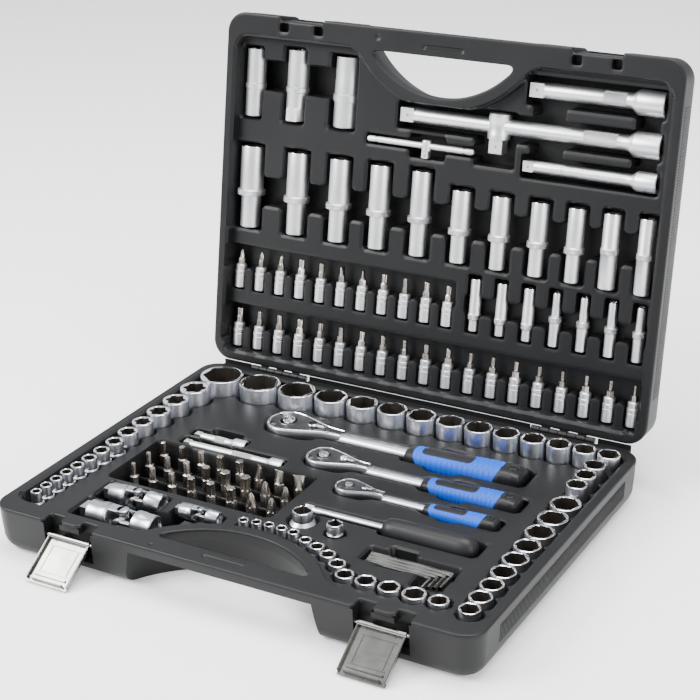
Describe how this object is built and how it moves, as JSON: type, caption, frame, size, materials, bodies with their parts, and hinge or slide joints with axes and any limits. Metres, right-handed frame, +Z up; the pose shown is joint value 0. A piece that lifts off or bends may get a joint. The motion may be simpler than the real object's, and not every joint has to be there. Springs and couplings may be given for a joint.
{
  "type": "socket wrench set in case",
  "caption": "Hinged tool case standing open, with sockets, ratchets, extension bars, universal joints, driver bits and hex keys seated in moulded pockets.",
  "frame": {"origin": "centre of the base case's flat underside", "axes": "+X along the lid hinge, towards the right seen from the front; +Y from the latches to the hinge; +Z up"},
  "size_m": [0.455, 0.4722, 0.3822],
  "materials": {
    "case_plastic": "fine grained satin",
    "satin_chrome": "satin",
    "bright_chrome": "polished",
    "dark_steel": "brushed",
    "nickel_steel": "plated",
    "blue_grip": "satin",
    "black_grip": "satin"
  },
  "bodies": {
    "base": {"base_case": "case_plastic", "hinge_pin_left": "nickel_steel", "hinge_pin_right": "nickel_steel", "latch_pin_left": "nickel_steel", "latch_pin_right": "nickel_steel", "half_inch_socket_row": "satin_chrome", "star_socket_row": "satin_chrome", "three_eighth_socket_row": "satin_chrome", "quarter_socket_row": "satin_chrome", "driver_bits": "dark_steel", "adapter_large": "satin_chrome", "adapter_small": "satin_chrome", "hex_keys": "bright_chrome", "quarter_extension_100": "satin_chrome", "quarter_extension_50": "satin_chrome", "half_inch_joint_socket_fork": "satin_chrome", "three_eighth_joint_socket_fork": "satin_chrome", "quarter_joint_socket_fork": "satin_chrome"},
    "lid": {"lid_case": "case_plastic", "half_inch_slide_bar": "satin_chrome", "quarter_slide_bar": "satin_chrome", "half_inch_extension_125": "satin_chrome", "three_eighth_extension_125": "satin_chrome", "deep_socket_row": "satin_chrome", "quarter_deep_socket_row": "satin_chrome", "bit_socket_row_upper": "satin_chrome", "bit_socket_row_lower": "satin_chrome", "spark_plug_socket_1": "satin_chrome", "spark_plug_socket_2": "satin_chrome", "spark_plug_socket_3": "satin_chrome"},
    "latch_left": {"latch_left": "nickel_steel"},
    "latch_right": {"latch_right": "nickel_steel"},
    "half_inch_slider": {"half_inch_slide_slider": "satin_chrome"},
    "quarter_slider": {"quarter_slide_slider": "satin_chrome"},
    "spinner": {"spinner_grip": "black_grip", "spinner_shaft": "satin_chrome"},
    "half_inch_ratchet": {"half_inch_ratchet_body": "satin_chrome", "half_inch_ratchet_grip": "blue_grip"},
    "half_inch_drive": {"half_inch_ratchet_drive": "satin_chrome"},
    "half_inch_button": {"half_inch_release_button": "bright_chrome"},
    "half_inch_lever": {"half_inch_reverse_lever": "bright_chrome"},
    "three_eighth_ratchet": {"three_eighth_ratchet_body": "satin_chrome", "three_eighth_ratchet_grip": "blue_grip"},
    "three_eighth_drive": {"three_eighth_ratchet_drive": "satin_chrome"},
    "three_eighth_button": {"three_eighth_release_button": "bright_chrome"},
    "three_eighth_lever": {"three_eighth_reverse_lever": "bright_chrome"},
    "quarter_ratchet": {"quarter_ratchet_body": "satin_chrome", "quarter_ratchet_grip": "blue_grip"},
    "quarter_drive": {"quarter_ratchet_drive": "satin_chrome"},
    "quarter_button": {"quarter_release_button": "bright_chrome"},
    "quarter_lever": {"quarter_reverse_lever": "bright_chrome"},
    "half_inch_cross": {"half_inch_joint_cross": "dark_steel"},
    "half_inch_drive_fork": {"half_inch_joint_drive_fork": "satin_chrome"},
    "three_eighth_cross": {"three_eighth_joint_cross": "dark_steel"},
    "three_eighth_drive_fork": {"three_eighth_joint_drive_fork": "satin_chrome"},
    "quarter_cross": {"quarter_joint_cross": "dark_steel"},
    "quarter_drive_fork": {"quarter_joint_drive_fork": "satin_chrome"}
  },
  "joints": [
    {"name": "lid_hinge", "type": "hinge", "parent": "base", "child": "lid", "pos_m": [0, 0.1739, 0.0415], "axis": [-1, 0, 0], "range_deg": [-99.4, 0]},
    {"name": "latch_left_hinge", "type": "hinge", "parent": "base", "child": "latch_left", "pos_m": [-0.147, -0.167, 0.0265], "axis": [1, 0, 0], "range_deg": [-123, 0]},
    {"name": "latch_right_hinge", "type": "hinge", "parent": "base", "child": "latch_right", "pos_m": [0.147, -0.167, 0.0265], "axis": [1, 0, 0], "range_deg": [-123, 0]},
    {"name": "half_inch_slider_slide", "type": "slide", "parent": "lid", "child": "half_inch_slider", "axis": [1, 0, 0], "range_m": [-0.009, 0.009]},
    {"name": "quarter_slider_slide", "type": "slide", "parent": "lid", "child": "quarter_slider", "axis": [1, 0, 0], "range_m": [-0.007, 0.007]},
    {"name": "spinner_lift", "type": "slide", "parent": "base", "child": "spinner", "axis": [0, 0, 1], "range_m": [0, 0.06]},
    {"name": "half_inch_ratchet_lift", "type": "slide", "parent": "base", "child": "half_inch_ratchet", "axis": [0, 0, 1], "range_m": [0, 0.06]},
    {"name": "half_inch_drive_spin", "type": "hinge", "parent": "half_inch_ratchet", "child": "half_inch_drive", "pos_m": [-0.093, 0.097, 0.0265], "axis": [0, 0, 1], "continuous": true},
    {"name": "half_inch_lever_turn", "type": "hinge", "parent": "half_inch_ratchet", "child": "half_inch_lever", "pos_m": [-0.067, 0.097, 0.0365], "axis": [0, 0, 1], "range_deg": [-12, 12]},
    {"name": "half_inch_button_press", "type": "slide", "parent": "half_inch_ratchet", "child": "half_inch_button", "axis": [0, 0, 1], "range_m": [-0.0015, 0], "stiffness_N_per_m": 400},
    {"name": "three_eighth_ratchet_lift", "type": "slide", "parent": "base", "child": "three_eighth_ratchet", "axis": [0, 0, 1], "range_m": [0, 0.06]},
    {"name": "three_eighth_drive_spin", "type": "hinge", "parent": "three_eighth_ratchet", "child": "three_eighth_drive", "pos_m": [-0.0282, 0.05, 0.0265], "axis": [0, 0, 1], "continuous": true},
    {"name": "three_eighth_lever_turn", "type": "hinge", "parent": "three_eighth_ratchet", "child": "three_eighth_lever", "pos_m": [-0.0074, 0.05, 0.0365], "axis": [0, 0, 1], "range_deg": [-12, 12]},
    {"name": "three_eighth_button_press", "type": "slide", "parent": "three_eighth_ratchet", "child": "three_eighth_button", "axis": [0, 0, 1], "range_m": [-0.0012, 0], "stiffness_N_per_m": 400},
    {"name": "quarter_ratchet_lift", "type": "slide", "parent": "base", "child": "quarter_ratchet", "axis": [0, 0, 1], "range_m": [0, 0.06]},
    {"name": "quarter_drive_spin", "type": "hinge", "parent": "quarter_ratchet", "child": "quarter_drive", "pos_m": [0.0196, 0.01, 0.0265], "axis": [0, 0, 1], "continuous": true},
    {"name": "quarter_lever_turn", "type": "hinge", "parent": "quarter_ratchet", "child": "quarter_lever", "pos_m": [0.0352, 0.01, 0.0365], "axis": [0, 0, 1], "range_deg": [-12, 12]},
    {"name": "quarter_button_press", "type": "slide", "parent": "quarter_ratchet", "child": "quarter_button", "axis": [0, 0, 1], "range_m": [-0.0009, 0], "stiffness_N_per_m": 400},
    {"name": "half_inch_joint_lift", "type": "hinge", "parent": "base", "child": "half_inch_cross", "pos_m": [-0.127, -0.119, 0.0265], "axis": [0, 1, 0], "range_deg": [0, 45]},
    {"name": "half_inch_joint_swing", "type": "hinge", "parent": "half_inch_cross", "child": "half_inch_drive_fork", "pos_m": [-0.127, -0.119, 0.0265], "axis": [0, 0, 1], "range_deg": [-5, 5]},
    {"name": "three_eighth_joint_lift", "type": "hinge", "parent": "base", "child": "three_eighth_cross", "pos_m": [-0.136, -0.085, 0.0289], "axis": [0, 1, 0], "range_deg": [0, 45]},
    {"name": "three_eighth_joint_swing", "type": "hinge", "parent": "three_eighth_cross", "child": "three_eighth_drive_fork", "pos_m": [-0.136, -0.085, 0.0289], "axis": [0, 0, 1], "range_deg": [-5, 5]},
    {"name": "quarter_joint_lift", "type": "hinge", "parent": "base", "child": "quarter_cross", "pos_m": [-0.069, -0.0885, 0.03154], "axis": [0, 1, 0], "range_deg": [0, 45]},
    {"name": "quarter_joint_swing", "type": "hinge", "parent": "quarter_cross", "child": "quarter_drive_fork", "pos_m": [-0.069, -0.0885, 0.03154], "axis": [0, 0, 1], "range_deg": [-5, 5]}
  ]
}
